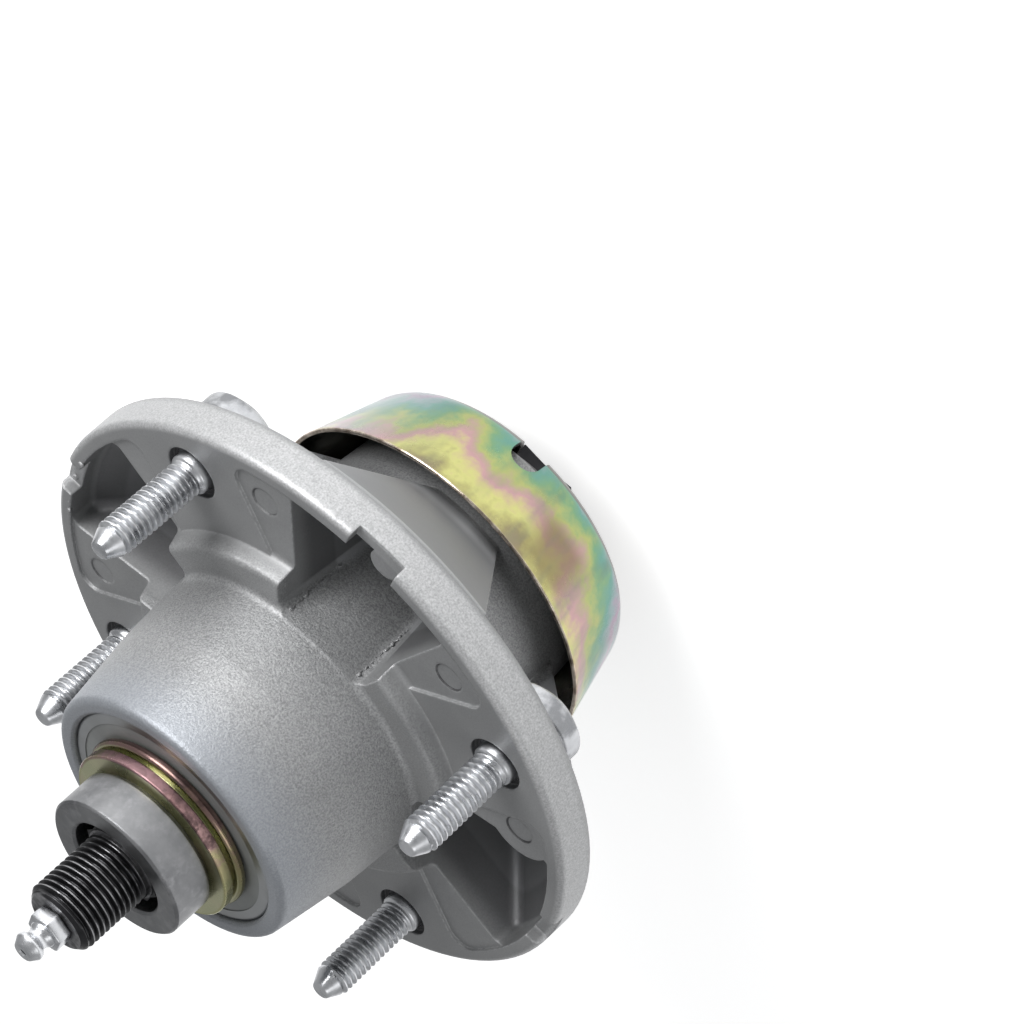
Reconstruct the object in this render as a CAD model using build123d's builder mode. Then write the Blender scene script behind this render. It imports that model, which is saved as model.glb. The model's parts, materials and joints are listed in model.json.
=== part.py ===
from build123d import *
import os
from math import atan2, cos, hypot, radians, sin, tan

# Mower deck spindle, in millimetres. The shaft stands along Z with its pulley end up.
# The origin is on the shaft's axis, in the plane where the flange's pads meet the deck.

# Ball bearings, one in each mouth of the housing
bearing_outer_diameter = 52.0
bearing_bore = 25.0
bearing_width = 15.0
bearing_recess = 0.8
bearing_edge_radius = 1.0
ball_diameter = 7.94
ball_count = 9
ball_clearance = 0.12
outer_ring_wall = 3.7
inner_ring_wall = 3.7
seal_overlap = 1.0
seal_seat_depth = 1.6
seal_thickness = 1.4
seal_clearance = 0.1
cage_thickness = 2.6
cage_height = 10.4
cage_clearance = 0.15

# Housing: hub above the flange, tail below it
hub_height = 38.0
hub_mouth_diameter = 59.6
hub_middle_diameter = 65.4
hub_middle_height = 19.0
hub_root_diameter = 67.8
hub_curve_radius = 20.0
tail_length = 58.8
tail_mouth_diameter = 60.0
tail_root_diameter = 67.2
mouth_edge_radius = 1.6
mouth_chamfer = 0.6
through_bore_diameter = 46.0
flange_draft = 0.2
flange_thickness = 9.5
rim_edge_radius = 1.6
rim_width = 3.5
shoulder_diameter = 85.0
shoulder_draft = 1.4
shoulder_height = 4.0
shoulder_edge_radius = 1.4
hub_foot_radius = 1.5
tail_foot_radius = 3.0

# Pockets between the pads, and the hollow ribs behind them
pocket_edge_angles = (
    (-18.3, 22.2),
    (71.7, 108.3),
    (156.5, 194.7),
    (251.7, 288.3),
)
pocket_draft = 5.0
pocket_wall_depth = 6.5
pocket_depth = 33.0
pocket_corner_radius = 2.5
rib_wall = 3.5
rib_side_wall = 2.0
notch_width = 11.5
notch_depth = 3.0
ejector_boss_diameter = 7.0
ejector_boss_reach = 1.8
ejector_boss_angles = (88.2, 268.2)

# Pads: a raised seat round each stud and a lower flank on both sides of it
seat_width = 28.0
flank_depth = 0.7
flank_corner_radius = 4.0
lug_diameter = 15.0
lug_angle = 26.5
ejector_mark_diameter = 6.5
ejector_mark_depth = 0.3
ejector_mark_angles = (65.2, 115.1, 204.3, 245.7, 294.3)

# Studs pressed in from behind the flange
stud_count = 4
stud_circle = 114.3
stud_angle = 45.0
stud_edge_distance = 10.65
stud_diameter = 7.94
stud_height = 25.3
stud_point_length = 4.0
stud_point_diameter = 4.0
stud_neck_diameter = 10.4
stud_neck_recess = 1.6
stud_hole_mouth_diameter = 12.2
stud_head_diameter = 18.4
stud_head_height = 8.2
stud_head_edge = 4.3

# Shaft
star_diameter = 18.8
star_root_diameter = 17.2
star_points = 12
star_length = 14.3
star_seat_gap = 0.2
thread_diameter = 15.875
thread_length = 17.5
thread_chamfer = 1.4
collar_diameter = 34.0
collar_thickness = 5.0
collar_chamfer = 0.8
blade_star_diameter = 26.0
blade_star_root_diameter = 21.0
blade_star_points = 6
blade_star_length = 5.5
blade_bolt_diameter = 9.525
blade_bolt_depth = 32.0
blade_bolt_chamfer = 0.8
grease_channel_diameter = 3.2
grease_channel_end = -10.0

# Spacer tube, washers and spacer ring
tube_wall = 2.6
tube_clearance = 0.1
washer_bore_clearance = 0.3
shield_diameter = 40.6
shield_thickness = 2.2
shield_edge_radius = 1.0
shield_boss_diameter = 35.0
shield_boss_height = 1.0
flat_washer_diameter = 39.4
flat_washer_thickness = 2.4
flat_washer_chamfer = 0.2
spacer_ring_diameter = 33.1
spacer_ring_bore = 22.0
spacer_ring_length = 10.0
spacer_ring_top_chamfer = 0.5
spacer_ring_foot_chamfer = 1.1

# Dust cup
cup_rim_diameter = 80.4
cup_depth = 24.1
cup_wall = 1.2
cup_draft = 14.0
cup_corner_radius = 7.5
cup_hole_clearance = 0.1
cup_notch_count = 2
cup_notch_angle = 90.0
cup_notch_width = 7.0
cup_notch_height = 8.5
cup_notch_start = 26.5

# Grease fitting
fitting_thread_diameter = 6.35
fitting_thread_length = 6.0
fitting_hex = 7.9
fitting_hex_height = 3.4
fitting_cone_height = 1.0
fitting_neck_diameter = 4.7
fitting_neck_length = 1.4
fitting_head_diameter = 6.5
fitting_head_length = 1.0
fitting_tip_diameter = 3.8
fitting_bore = 1.6
fitting_height = 9.0

# Heights that follow from the sizes above
upper_bearing_top = hub_height - bearing_recess
upper_bearing_bottom = upper_bearing_top - bearing_width
lower_bearing_bottom = bearing_recess - tail_length
lower_bearing_top = lower_bearing_bottom + bearing_width
shield_top = upper_bearing_top + shield_thickness + shield_boss_height
flat_washer_top = shield_top + flat_washer_thickness
star_bottom = upper_bearing_top - star_seat_gap
star_top = star_bottom + star_length
shaft_top = star_top + thread_length
fitting_top = shaft_top + fitting_height
fitting_bottom = shaft_top - fitting_thread_length
cup_floor_top = lower_bearing_bottom - shield_thickness
cup_floor_bottom = cup_floor_top - cup_wall
cup_rim_top = cup_floor_bottom + cup_depth
collar_bottom = cup_floor_bottom - collar_thickness
blade_end = collar_bottom - blade_star_length

# Radii and angles that follow from the sizes above
outer_land_radius = bearing_outer_diameter / 2 - outer_ring_wall
inner_land_radius = bearing_bore / 2 + inner_ring_wall
seal_seat_radius = outer_land_radius + seal_overlap
flange_radius = stud_circle / 2 + stud_edge_distance
pitch_radius = (bearing_outer_diameter + bearing_bore) / 4
groove_radius = ball_diameter / 2 + ball_clearance
shaft_seat_radius = bearing_bore / 2
washer_bore = star_diameter + 2 * washer_bore_clearance
cup_foot_radius = cup_rim_diameter / 2 - cup_depth * tan(radians(cup_draft))
pocket_root_radius = hub_root_diameter / 2
pocket_rim_radius = flange_radius - rim_width
pocket_floor_angle = atan2(pocket_depth - pocket_wall_depth, pocket_rim_radius - pocket_root_radius)
pocket_top = shoulder_height + hub_foot_radius

os.makedirs("parts", exist_ok=True)


def polar(radius, angle):
    """Point at a radius and an angle in degrees."""
    return (radius * cos(radians(angle)), radius * sin(radians(angle)))


def sector(radius, start, end):
    """Corners of a triangle that opens from the axis between two angles."""
    return ((0, 0), polar(radius, start), polar(radius, end))


def star_outline(tip_diameter, root_diameter, points):
    """Corners of a star with straight flanks, tip and root by turns."""
    radii = (tip_diameter / 2, root_diameter / 2)
    return [polar(radii[corner % 2], 180 / points * corner) for corner in range(2 * points)]


# Sizes of the ribs that follow from the pockets
rib_drop = rib_wall / cos(pocket_floor_angle)
rib_root_radius = through_bore_diameter / 2 + rib_wall
rib_root_depth = pocket_depth + (pocket_root_radius - rib_root_radius) * tan(pocket_floor_angle)

ribs = []
pockets = []
for start_angle, end_angle in pocket_edge_angles:
    opening_corners = sector(2 * flange_radius, start_angle, end_angle)

    # Rib: it carries the pocket's side walls and sloping floor below the flange
    with BuildPart() as rib:
        with BuildSketch():
            with BuildLine():
                Polyline(*opening_corners, close=True)
            make_face()
            offset(amount=rib_side_wall, kind=Kind.INTERSECTION)
        extrude(amount=-rib_root_depth - rib_drop, taper=pocket_draft)
        with BuildSketch(Plane.XZ):
            with BuildLine():
                Polyline(
                    (rib_root_radius, -flange_thickness / 2),
                    (pocket_rim_radius, -flange_thickness / 2),
                    (pocket_rim_radius, -pocket_wall_depth - rib_drop),
                    (rib_root_radius, -rib_root_depth - rib_drop),
                    close=True,
                )
            make_face()
        revolve(axis=Axis.Z, mode=Mode.INTERSECT)
    ribs.append(rib.part)

    # Hollow of the pocket: drafted side walls, a short outer wall and a floor that slopes to the hub
    with BuildPart() as pocket:
        with BuildSketch(Plane.XY.offset(pocket_top)):
            with BuildLine():
                Polyline(*opening_corners, close=True)
            make_face()
            offset(amount=pocket_top * tan(radians(pocket_draft)), kind=Kind.INTERSECTION)
        extrude(amount=-pocket_top - pocket_depth, taper=pocket_draft)
        with BuildSketch(Plane.XZ):
            with BuildLine():
                Polyline(
                    (pocket_root_radius, pocket_top),
                    (pocket_rim_radius, pocket_top),
                    (pocket_rim_radius, -pocket_wall_depth),
                    (pocket_root_radius, -pocket_depth),
                    close=True,
                )
            make_face()
        revolve(axis=Axis.Z, mode=Mode.INTERSECT)
        rim_edges = pocket.faces().sort_by(Axis.Z)[-1].edges()
        fillet(pocket.edges() - rim_edges, pocket_corner_radius)
    pockets.append(pocket.part)

# Outline of the lower flanks on both sides of each seat
with BuildSketch() as flanks:
    Circle(pocket_rim_radius)
    Circle(shoulder_diameter / 2 - 2 * shoulder_draft, mode=Mode.SUBTRACT)
    with PolarLocations(stud_circle / 2, stud_count, start_angle=stud_angle):
        Rectangle(stud_circle, seat_width, mode=Mode.SUBTRACT)
    rim_corners = flanks.vertices().filter_by(lambda corner: hypot(corner.X, corner.Y) > stud_circle / 2)
    fillet(rim_corners, flank_corner_radius)

# Housing: one casting
with BuildPart() as housing:
    with BuildSketch(Plane.XZ):
        with BuildLine():
            FilletPolyline(
                (0, -tail_length),
                (tail_mouth_diameter / 2, -tail_length),
                (tail_root_diameter / 2, -flange_thickness),
                (flange_radius + flange_draft, -flange_thickness),
                (flange_radius, 0),
                (pocket_rim_radius, 0),
                (pocket_rim_radius, -flank_depth),
                (shoulder_diameter / 2, -flank_depth),
                (shoulder_diameter / 2 - shoulder_draft, shoulder_height),
                (hub_root_diameter / 2, shoulder_height),
                (hub_middle_diameter / 2, hub_middle_height),
                (hub_mouth_diameter / 2, hub_height),
                (0, hub_height),
                radius=[
                    0,
                    mouth_edge_radius,
                    tail_foot_radius,
                    rim_edge_radius,
                    rim_edge_radius,
                    0,
                    0,
                    shoulder_edge_radius,
                    shoulder_edge_radius,
                    hub_foot_radius,
                    hub_curve_radius,
                    mouth_edge_radius,
                    0,
                ],
                close=True,
            )
        make_face()
    revolve(axis=Axis.Z)

    # Seats round the studs, level with the rim and higher than the flanks
    with BuildSketch(Plane.XY.offset(-flank_depth)):
        Circle(pocket_rim_radius + rim_width / 2)
        Circle(shoulder_diameter / 2 - shoulder_draft, mode=Mode.SUBTRACT)
        add(flanks.sketch, mode=Mode.SUBTRACT)
    extrude(amount=flank_depth)

    # Ribs and pockets
    for rib_part, pocket_part in zip(ribs, pockets):
        add(rib_part)
        add(pocket_part, mode=Mode.SUBTRACT)

    # Half-round lug that reaches from the first pad over the edge of its pocket
    with BuildSketch(Plane.XY.offset(-flank_depth)):
        with Locations(polar(stud_circle / 2, lug_angle)):
            Circle(lug_diameter / 2)
    extrude(amount=flank_depth - flange_thickness)

    # Notch in the rim between the pads, and ejector bosses below two of them
    with BuildSketch(Plane.XY.offset(-notch_depth)):
        with PolarLocations(flange_radius, stud_count):
            Rectangle(3 * rim_width, notch_width)
    extrude(amount=pocket_top, mode=Mode.SUBTRACT)
    with BuildSketch(Plane.XY.offset(-notch_depth)):
        for boss_angle in ejector_boss_angles:
            with Locations(polar(pocket_rim_radius + ejector_boss_reach - ejector_boss_diameter / 2, boss_angle)):
                Circle(ejector_boss_diameter / 2)
    extrude(amount=notch_depth - flange_thickness)

    # Bearing seats and the bore between them
    with BuildSketch(Plane.XZ):
        with BuildLine():
            Polyline(
                (0, -tail_length),
                (bearing_outer_diameter / 2 + mouth_chamfer, -tail_length),
                (bearing_outer_diameter / 2, mouth_chamfer - tail_length),
                (bearing_outer_diameter / 2, lower_bearing_top),
                (through_bore_diameter / 2, lower_bearing_top),
                (through_bore_diameter / 2, upper_bearing_bottom),
                (bearing_outer_diameter / 2, upper_bearing_bottom),
                (bearing_outer_diameter / 2, hub_height - mouth_chamfer),
                (bearing_outer_diameter / 2 + mouth_chamfer, hub_height),
                (0, hub_height),
                close=True,
            )
        make_face()
    revolve(axis=Axis.Z, mode=Mode.SUBTRACT)

    # Marks of the ejector pins on the flanks
    with BuildSketch(Plane.XY.offset(-flank_depth - ejector_mark_depth)):
        for mark_angle in (lug_angle, *ejector_mark_angles):
            with Locations(polar(stud_circle / 2, mark_angle)):
                Circle(ejector_mark_diameter / 2)
    extrude(amount=pocket_top, mode=Mode.SUBTRACT)

    # Stud holes with a wider mouth at the pads
    with PolarLocations(stud_circle / 2, stud_count, start_angle=stud_angle):
        CounterBoreHole(stud_neck_diameter / 2, stud_hole_mouth_diameter / 2, stud_neck_recess)
housing.part.label = "housing"
export_step(housing.part, "parts/housing.step")

# Stud with a round head behind the flange, a pressed neck and a lead-in point
stud_head_bottom = -flange_thickness - stud_head_height
with BuildPart() as stud:
    with BuildSketch(Plane.XZ):
        with BuildLine():
            TangentArc(
                (0, stud_head_bottom),
                (stud_head_diameter / 2, -flange_thickness - stud_head_edge),
                tangent=(1, 0),
            )
            Polyline(
                (stud_head_diameter / 2, -flange_thickness - stud_head_edge),
                (stud_head_diameter / 2, -flange_thickness),
                (stud_neck_diameter / 2, -flange_thickness),
                (stud_neck_diameter / 2, -stud_neck_recess),
                (stud_diameter / 2, -stud_neck_recess),
                (stud_diameter / 2, stud_height - stud_point_length),
                (stud_point_diameter / 2, stud_height),
                (0, stud_height),
                (0, stud_head_bottom),
            )
        make_face()
    revolve(axis=Axis.Z)
for number in range(stud_count):
    with BuildPart() as mounting_stud:
        with Locations(polar(stud_circle / 2, stud_angle + 360 / stud_count * number)):
            add(stud.part)
    mounting_stud.part.label = f"mounting_stud_{number + 1}"
    export_step(mounting_stud.part, f"parts/mounting_stud_{number + 1}.step")

# Sealed ball bearing, made round the origin and then placed at both ends
with BuildPart() as outer_ring:
    with BuildSketch(Plane.XZ):
        with Locations((outer_land_radius + outer_ring_wall / 2, 0)):
            outline = Rectangle(outer_ring_wall, bearing_width)
        fillet(outline.vertices().group_by(Axis.X)[-1], bearing_edge_radius)
        with GridLocations(0, bearing_width - seal_seat_depth, 1, 2):
            Rectangle(2 * seal_seat_radius, seal_seat_depth, mode=Mode.SUBTRACT)
        with Locations((pitch_radius, 0)):
            Circle(groove_radius, mode=Mode.SUBTRACT)
    revolve(axis=Axis.Z)

with BuildPart() as inner_ring:
    with BuildSketch(Plane.XZ):
        with Locations((inner_land_radius - inner_ring_wall / 2, 0)):
            outline = Rectangle(inner_ring_wall, bearing_width)
        fillet(outline.vertices().group_by(Axis.X)[0], bearing_edge_radius)
        with Locations((pitch_radius, 0)):
            Circle(groove_radius, mode=Mode.SUBTRACT)
    revolve(axis=Axis.Z)

with BuildPart() as balls:
    with PolarLocations(pitch_radius, ball_count):
        Sphere(ball_diameter / 2)

with BuildPart() as cage:
    Cylinder(pitch_radius + cage_thickness / 2, cage_height)
    Cylinder(pitch_radius - cage_thickness / 2, cage_height, mode=Mode.SUBTRACT)
    with PolarLocations(pitch_radius, ball_count):
        Cylinder(ball_diameter / 2 + cage_clearance, cage_height, rotation=(0, 90, 0), mode=Mode.SUBTRACT)

seal_height = (bearing_width + seal_thickness) / 2 - seal_seat_depth
with BuildPart(Plane.XY.offset(seal_height)) as top_seal:
    Cylinder(seal_seat_radius, seal_thickness)
    Cylinder(inner_land_radius + seal_clearance, seal_thickness, mode=Mode.SUBTRACT)

with BuildPart() as bottom_seal:
    mirror(top_seal.part, about=Plane.XY)

bearing_pieces = {
    "outer_ring": outer_ring,
    "inner_ring": inner_ring,
    "balls": balls,
    "cage": cage,
    "top_seal": top_seal,
    "bottom_seal": bottom_seal,
}
for end, bottom in (("upper", upper_bearing_bottom), ("lower", lower_bearing_bottom)):
    for name, piece in bearing_pieces.items():
        with BuildPart() as bearing_piece:
            with Locations((0, 0, bottom + bearing_width / 2)):
                add(piece.part)
        bearing_piece.part.label = f"{end}_bearing_{name}"
        export_step(bearing_piece.part, f"parts/{end}_bearing_{name}.step")

# Tube that keeps the inner rings apart, with a cross hole for the grease
with BuildPart() as spacer_tube:
    with BuildSketch(Plane.XY.offset(lower_bearing_top)):
        Circle(shaft_seat_radius + tube_clearance + tube_wall)
        Circle(shaft_seat_radius + tube_clearance, mode=Mode.SUBTRACT)
    extrude(amount=upper_bearing_bottom - lower_bearing_top)
    with Locations((0, 0, grease_channel_end)):
        Cylinder(grease_channel_diameter / 2, 2 * bearing_bore, rotation=(0, 90, 0), mode=Mode.SUBTRACT)
spacer_tube.part.label = "bearing_spacer_tube"
export_step(spacer_tube.part, "parts/bearing_spacer_tube.step")

# Shaft: blade star, collar, bearing seats, pulley star and thread
with BuildPart() as shaft:
    with BuildSketch(Plane.XY.offset(blade_end)):
        with BuildLine():
            Polyline(*star_outline(blade_star_diameter, blade_star_root_diameter, blade_star_points), close=True)
        make_face()
    extrude(amount=blade_star_length)
    with BuildSketch(Plane.XZ):
        with BuildLine():
            Polyline(
                (0, collar_bottom),
                (collar_diameter / 2 - collar_chamfer, collar_bottom),
                (collar_diameter / 2, collar_bottom + collar_chamfer),
                (collar_diameter / 2, cup_floor_bottom),
                (shaft_seat_radius, cup_floor_bottom),
                (shaft_seat_radius, star_bottom),
                (thread_diameter / 2, star_bottom),
                (thread_diameter / 2, shaft_top - thread_chamfer),
                (thread_diameter / 2 - thread_chamfer, shaft_top),
                (0, shaft_top),
                close=True,
            )
        make_face()
    revolve(axis=Axis.Z)
    with BuildSketch(Plane.XY.offset(star_bottom)):
        with BuildLine():
            Polyline(*star_outline(star_diameter, star_root_diameter, star_points), close=True)
        make_face()
    extrude(amount=star_length)

    # Grease passage and the threaded holes at both ends
    with Locations((0, 0, shaft_top)):
        Hole(fitting_thread_diameter / 2, depth=fitting_thread_length)
        Hole(grease_channel_diameter / 2, depth=shaft_top - grease_channel_end)
    with Locations((0, 0, grease_channel_end)):
        Cylinder(grease_channel_diameter / 2, 2 * bearing_bore, rotation=(0, 90, 0), mode=Mode.SUBTRACT)
    with Locations(Plane.XY.offset(blade_end).rotated((180, 0, 0))):
        CounterSinkHole(
            blade_bolt_diameter / 2,
            blade_bolt_diameter / 2 + blade_bolt_chamfer,
            depth=blade_bolt_depth,
            counter_sink_angle=90,
        )
shaft.part.label = "shaft"
export_step(shaft.part, "parts/shaft.step")

# Washer on the upper bearing, with a low boss under the flat washer
with BuildPart() as upper_shield:
    with BuildSketch(Plane.XZ):
        with BuildLine():
            FilletPolyline(
                (washer_bore / 2, upper_bearing_top),
                (shield_diameter / 2, upper_bearing_top),
                (shield_diameter / 2, upper_bearing_top + shield_thickness),
                (shield_boss_diameter / 2, upper_bearing_top + shield_thickness),
                (shield_boss_diameter / 2, shield_top),
                (washer_bore / 2, shield_top),
                radius=[0, shield_edge_radius, shield_edge_radius, 0, 0, 0],
                close=True,
            )
        make_face()
    revolve(axis=Axis.Z)
upper_shield.part.label = "upper_shield_washer"
export_step(upper_shield.part, "parts/upper_shield_washer.step")

# Washer between the lower bearing and the dust cup
with BuildPart() as lower_shield:
    with BuildSketch(Plane.XZ):
        with BuildLine():
            FilletPolyline(
                (shaft_seat_radius + tube_clearance, cup_floor_top),
                (shield_diameter / 2, cup_floor_top),
                (shield_diameter / 2, lower_bearing_bottom),
                (shaft_seat_radius + tube_clearance, lower_bearing_bottom),
                radius=[0, shield_edge_radius, shield_edge_radius, 0],
                close=True,
            )
        make_face()
    revolve(axis=Axis.Z)
lower_shield.part.label = "lower_shield_washer"
export_step(lower_shield.part, "parts/lower_shield_washer.step")

# Flat washer under the spacer ring
with BuildPart() as flat_washer:
    with BuildSketch(Plane.XY.offset(shield_top)):
        Circle(flat_washer_diameter / 2)
        Circle(washer_bore / 2, mode=Mode.SUBTRACT)
    extrude(amount=flat_washer_thickness)
    chamfer(flat_washer.edges().filter_by(GeomType.CIRCLE).group_by(SortBy.RADIUS)[-1], flat_washer_chamfer)
flat_washer.part.label = "flat_washer"
export_step(flat_washer.part, "parts/flat_washer.step")

# Ring that spaces the pulley from the washers
with BuildPart() as spacer_ring:
    with BuildSketch(Plane.XY.offset(flat_washer_top)):
        Circle(spacer_ring_diameter / 2)
        Circle(spacer_ring_bore / 2, mode=Mode.SUBTRACT)
    extrude(amount=spacer_ring_length)
    foot_edges = spacer_ring.edges().group_by(Axis.Z)[0]
    top_edges = spacer_ring.edges().group_by(Axis.Z)[-1]
    chamfer(foot_edges.sort_by(SortBy.RADIUS)[-1], spacer_ring_foot_chamfer)
    chamfer(top_edges, spacer_ring_top_chamfer)
spacer_ring.part.label = "spacer_ring"
export_step(spacer_ring.part, "parts/spacer_ring.step")

# Drain notch of the dust cup, through its corner
with BuildPart() as drain_notch:
    with BuildSketch(Plane.YZ.offset(cup_notch_start)):
        with Locations((0, cup_floor_bottom)):
            SlotOverall(2 * cup_notch_height, cup_notch_width, rotation=90)
    extrude(amount=cup_rim_diameter / 2)

# Dust cup: pressed from sheet, open towards the flange
with BuildPart() as dust_cup:
    with BuildSketch(Plane.XZ):
        with BuildLine():
            FilletPolyline(
                (shaft_seat_radius + cup_hole_clearance, cup_floor_bottom),
                (cup_foot_radius, cup_floor_bottom),
                (cup_rim_diameter / 2, cup_rim_top),
                (cup_rim_diameter / 2 - cup_wall, cup_rim_top),
                (cup_foot_radius - cup_wall, cup_floor_top),
                (shaft_seat_radius + cup_hole_clearance, cup_floor_top),
                radius=[0, cup_corner_radius, 0, 0, cup_corner_radius - cup_wall, 0],
                close=True,
            )
        make_face()
    revolve(axis=Axis.Z)
    with PolarLocations(0, cup_notch_count, start_angle=cup_notch_angle):
        add(drain_notch.part, mode=Mode.SUBTRACT)
dust_cup.part.label = "dust_cup"
export_step(dust_cup.part, "parts/dust_cup.step")

# Grease fitting screwed into the shaft's end
fitting_hex_top = shaft_top + fitting_hex_height
fitting_neck_bottom = fitting_hex_top + fitting_cone_height
fitting_neck_top = fitting_neck_bottom + fitting_neck_length
fitting_head_bottom = fitting_neck_top + (fitting_head_diameter - fitting_neck_diameter) / 2
with BuildPart() as grease_fitting:
    with BuildSketch(Plane.XY.offset(shaft_top)):
        RegularPolygon(fitting_hex / 2, 6, major_radius=False)
    extrude(amount=fitting_hex_height)
    with BuildSketch(Plane.XZ):
        with BuildLine():
            Polyline(
                (0, fitting_bottom),
                (fitting_thread_diameter / 2, fitting_bottom),
                (fitting_thread_diameter / 2, fitting_hex_top),
                (fitting_neck_diameter / 2, fitting_neck_bottom),
                (fitting_neck_diameter / 2, fitting_neck_top),
                (fitting_head_diameter / 2, fitting_head_bottom),
                (fitting_head_diameter / 2, fitting_head_bottom + fitting_head_length),
                (fitting_tip_diameter / 2, fitting_top),
                (0, fitting_top),
                close=True,
            )
        make_face()
    revolve(axis=Axis.Z)
    with Locations((0, 0, fitting_top)):
        Hole(fitting_bore / 2, depth=fitting_top - fitting_bottom)
grease_fitting.part.label = "grease_fitting"
export_step(grease_fitting.part, "parts/grease_fitting.step")
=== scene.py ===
"""Mower deck spindle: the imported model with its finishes, threads, light and camera."""
import json
from math import atan2, cos, degrees, hypot, pi, radians, sin

import bmesh
import bpy
from mathutils import Matrix, Vector, noise

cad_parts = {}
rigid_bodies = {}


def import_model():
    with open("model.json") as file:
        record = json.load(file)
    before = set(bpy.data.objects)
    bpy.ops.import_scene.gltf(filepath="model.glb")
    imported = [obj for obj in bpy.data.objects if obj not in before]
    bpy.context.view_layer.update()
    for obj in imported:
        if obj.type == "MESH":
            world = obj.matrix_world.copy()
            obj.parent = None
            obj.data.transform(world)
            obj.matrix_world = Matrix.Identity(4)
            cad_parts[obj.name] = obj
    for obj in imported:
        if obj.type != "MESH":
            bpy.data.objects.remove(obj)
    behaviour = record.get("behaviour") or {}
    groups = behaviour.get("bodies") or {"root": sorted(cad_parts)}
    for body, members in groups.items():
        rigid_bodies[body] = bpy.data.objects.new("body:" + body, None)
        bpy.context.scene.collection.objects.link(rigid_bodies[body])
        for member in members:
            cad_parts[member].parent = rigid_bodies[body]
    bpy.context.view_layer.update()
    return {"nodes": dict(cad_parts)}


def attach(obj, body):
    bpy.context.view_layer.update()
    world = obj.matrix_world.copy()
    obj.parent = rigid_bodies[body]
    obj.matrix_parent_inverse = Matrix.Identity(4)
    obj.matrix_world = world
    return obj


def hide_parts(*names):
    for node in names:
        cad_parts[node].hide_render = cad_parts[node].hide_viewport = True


for left_over in list(bpy.data.objects):
    bpy.data.objects.remove(left_over)
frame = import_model()
nodes = frame["nodes"]

# Sizes in millimetres and angles in degrees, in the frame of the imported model
MM = 0.001
THREAD_PITCH = 1.411
THREAD_DEPTH = 0.61 * THREAD_PITCH

POCKET_INNER_RADIUS = 36.0
POCKET_OUTER_RADIUS = 63.8
STUD_CIRCLE_RADIUS = 57.15
STUD_ANGLES = (45.0, 135.0, 225.0, 315.0)
STUD_HOLE_RADIUS = 6.0
STUD_HEAD_FACE = -9.5
STUD_NECK_RADIUS = 5.2
STUD_COLLAR_RADIUS = 4.5
STUD_THREAD_RADIUS = 3.97
STUD_THREAD_START = 1.2
STUD_THREAD_END = 21.3
STUD_STEPS = 64

EJECTOR_MARK_ANGLES = (26.5, 65.2, 115.1, 204.3, 245.7, 294.3)
FLASH_ANGLES = (-15.5, 19.4, 74.6, 105.6, 159.3, 191.9, 254.5, 285.5)
FLASH_RADIUS = 33.9
FLASH_LENGTH = 19
FLASH_MIDDLE = -6.5
# Radius, angle, height and size of each nub
RIM_NUBS = (
    (64.5, 172.6, -0.1, 0.6),
    (64.5, 190.3, -0.1, 0.55),
    (66.1, 183.5, -3.0, 0.75),
    (64.8, 187.6, -0.2, 0.35),
)

SHAFT_CUT_HEIGHT = 51.0
SHAFT_SOCKET_FLOOR = 48.0
SHAFT_SHOULDER_RADIUS = 8.4
SHAFT_THREAD_RADIUS = 7.9375
SHAFT_THREAD_START = 51.3
SHAFT_THREAD_END = 67.4
SHAFT_TOP = 68.8
GREASE_CHANNEL_RADIUS = 1.6
FITTING_BORE_RADIUS = 3.175
FITTING_BORE_FLOOR = 62.8

CUP_FLOOR = -61.4
CUP_SHEET = 1.2
CUP_HOLE_RADIUS = 12.6
CUP_FLAT_RADIUS = 20.0
CUP_BEND_CENTRE = (28.33, -53.9)
CUP_BEND_RADIUS = 7.5
CUP_WALL_ANGLE = -14
CUP_NOTCH_START = 20.5
CUP_NOTCH_SIZE = (7, 24, 17)
CUP_NOTCH_CORNER = 3.2

FITTING_HEX_WIDTH = 7.9
FITTING_HEX_HEIGHT = 3.4
FLAT_WASHER_RADIUS = 19.7
SHIELD_WASHER_RADIUS = 20.3

FLOOR_HEIGHT = -71.9
FLOOR_RADIUS = 4000
FLOOR_GREY = (0.86, 0.86, 0.86, 1)
FLOOR_GLOW = 0.62
ROOM_COLOUR = (0.98, 0.99, 1.0, 1)
ROOM_STRENGTH = 0.39

# The camera's place in metres, and which way the picture's right and down point
CAMERA_PLACE = (0.1106, 0.6684, 0.3058)
CAMERA_RIGHT = (0.71915, 0.24179, -0.65110)
CAMERA_DOWN = (0.67961, -0.43788, 0.58800)
CAMERA_LENS = 130.75


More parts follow.
